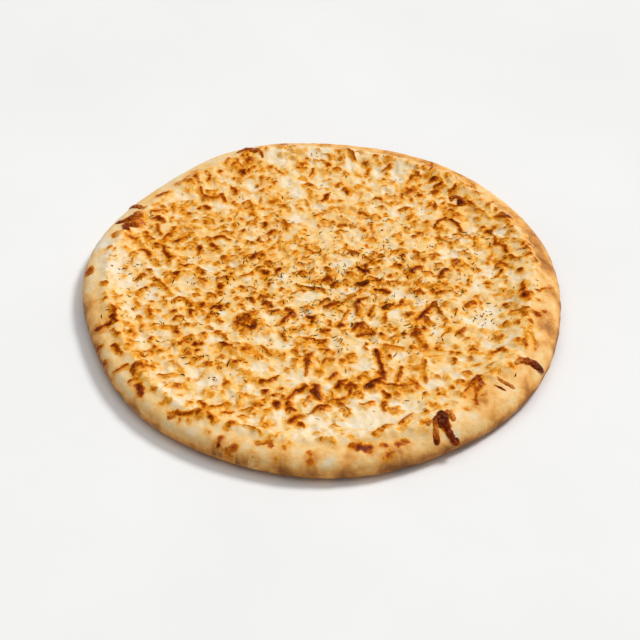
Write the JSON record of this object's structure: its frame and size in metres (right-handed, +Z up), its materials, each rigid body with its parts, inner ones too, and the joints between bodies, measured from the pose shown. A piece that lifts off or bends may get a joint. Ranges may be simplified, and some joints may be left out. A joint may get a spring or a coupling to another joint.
{
  "type": "cheese-topped round flatbread",
  "caption": "Round flatbread about 30 cm across, with a puffed rim and a thin layer of melted, toasted cheese flecked with dried herbs.",
  "frame": {"origin": "middle of the bounding box at its bottom, on the flat underside", "axes": "+Z up out of the cheese, -Y towards the viewer of the picture, +X to the right"},
  "size_m": [0.2996, 0.303, 0.0219],
  "materials": {
    "bread": "baked wheat dough, matt, pale tan with light brown patches",
    "cheese": "melted cheese, cream to golden with dark toasted spots, slightly glossy"
  },
  "bodies": {
    "root": {"bread": "bread", "cheese": "cheese"}
  },
  "joints": []
}
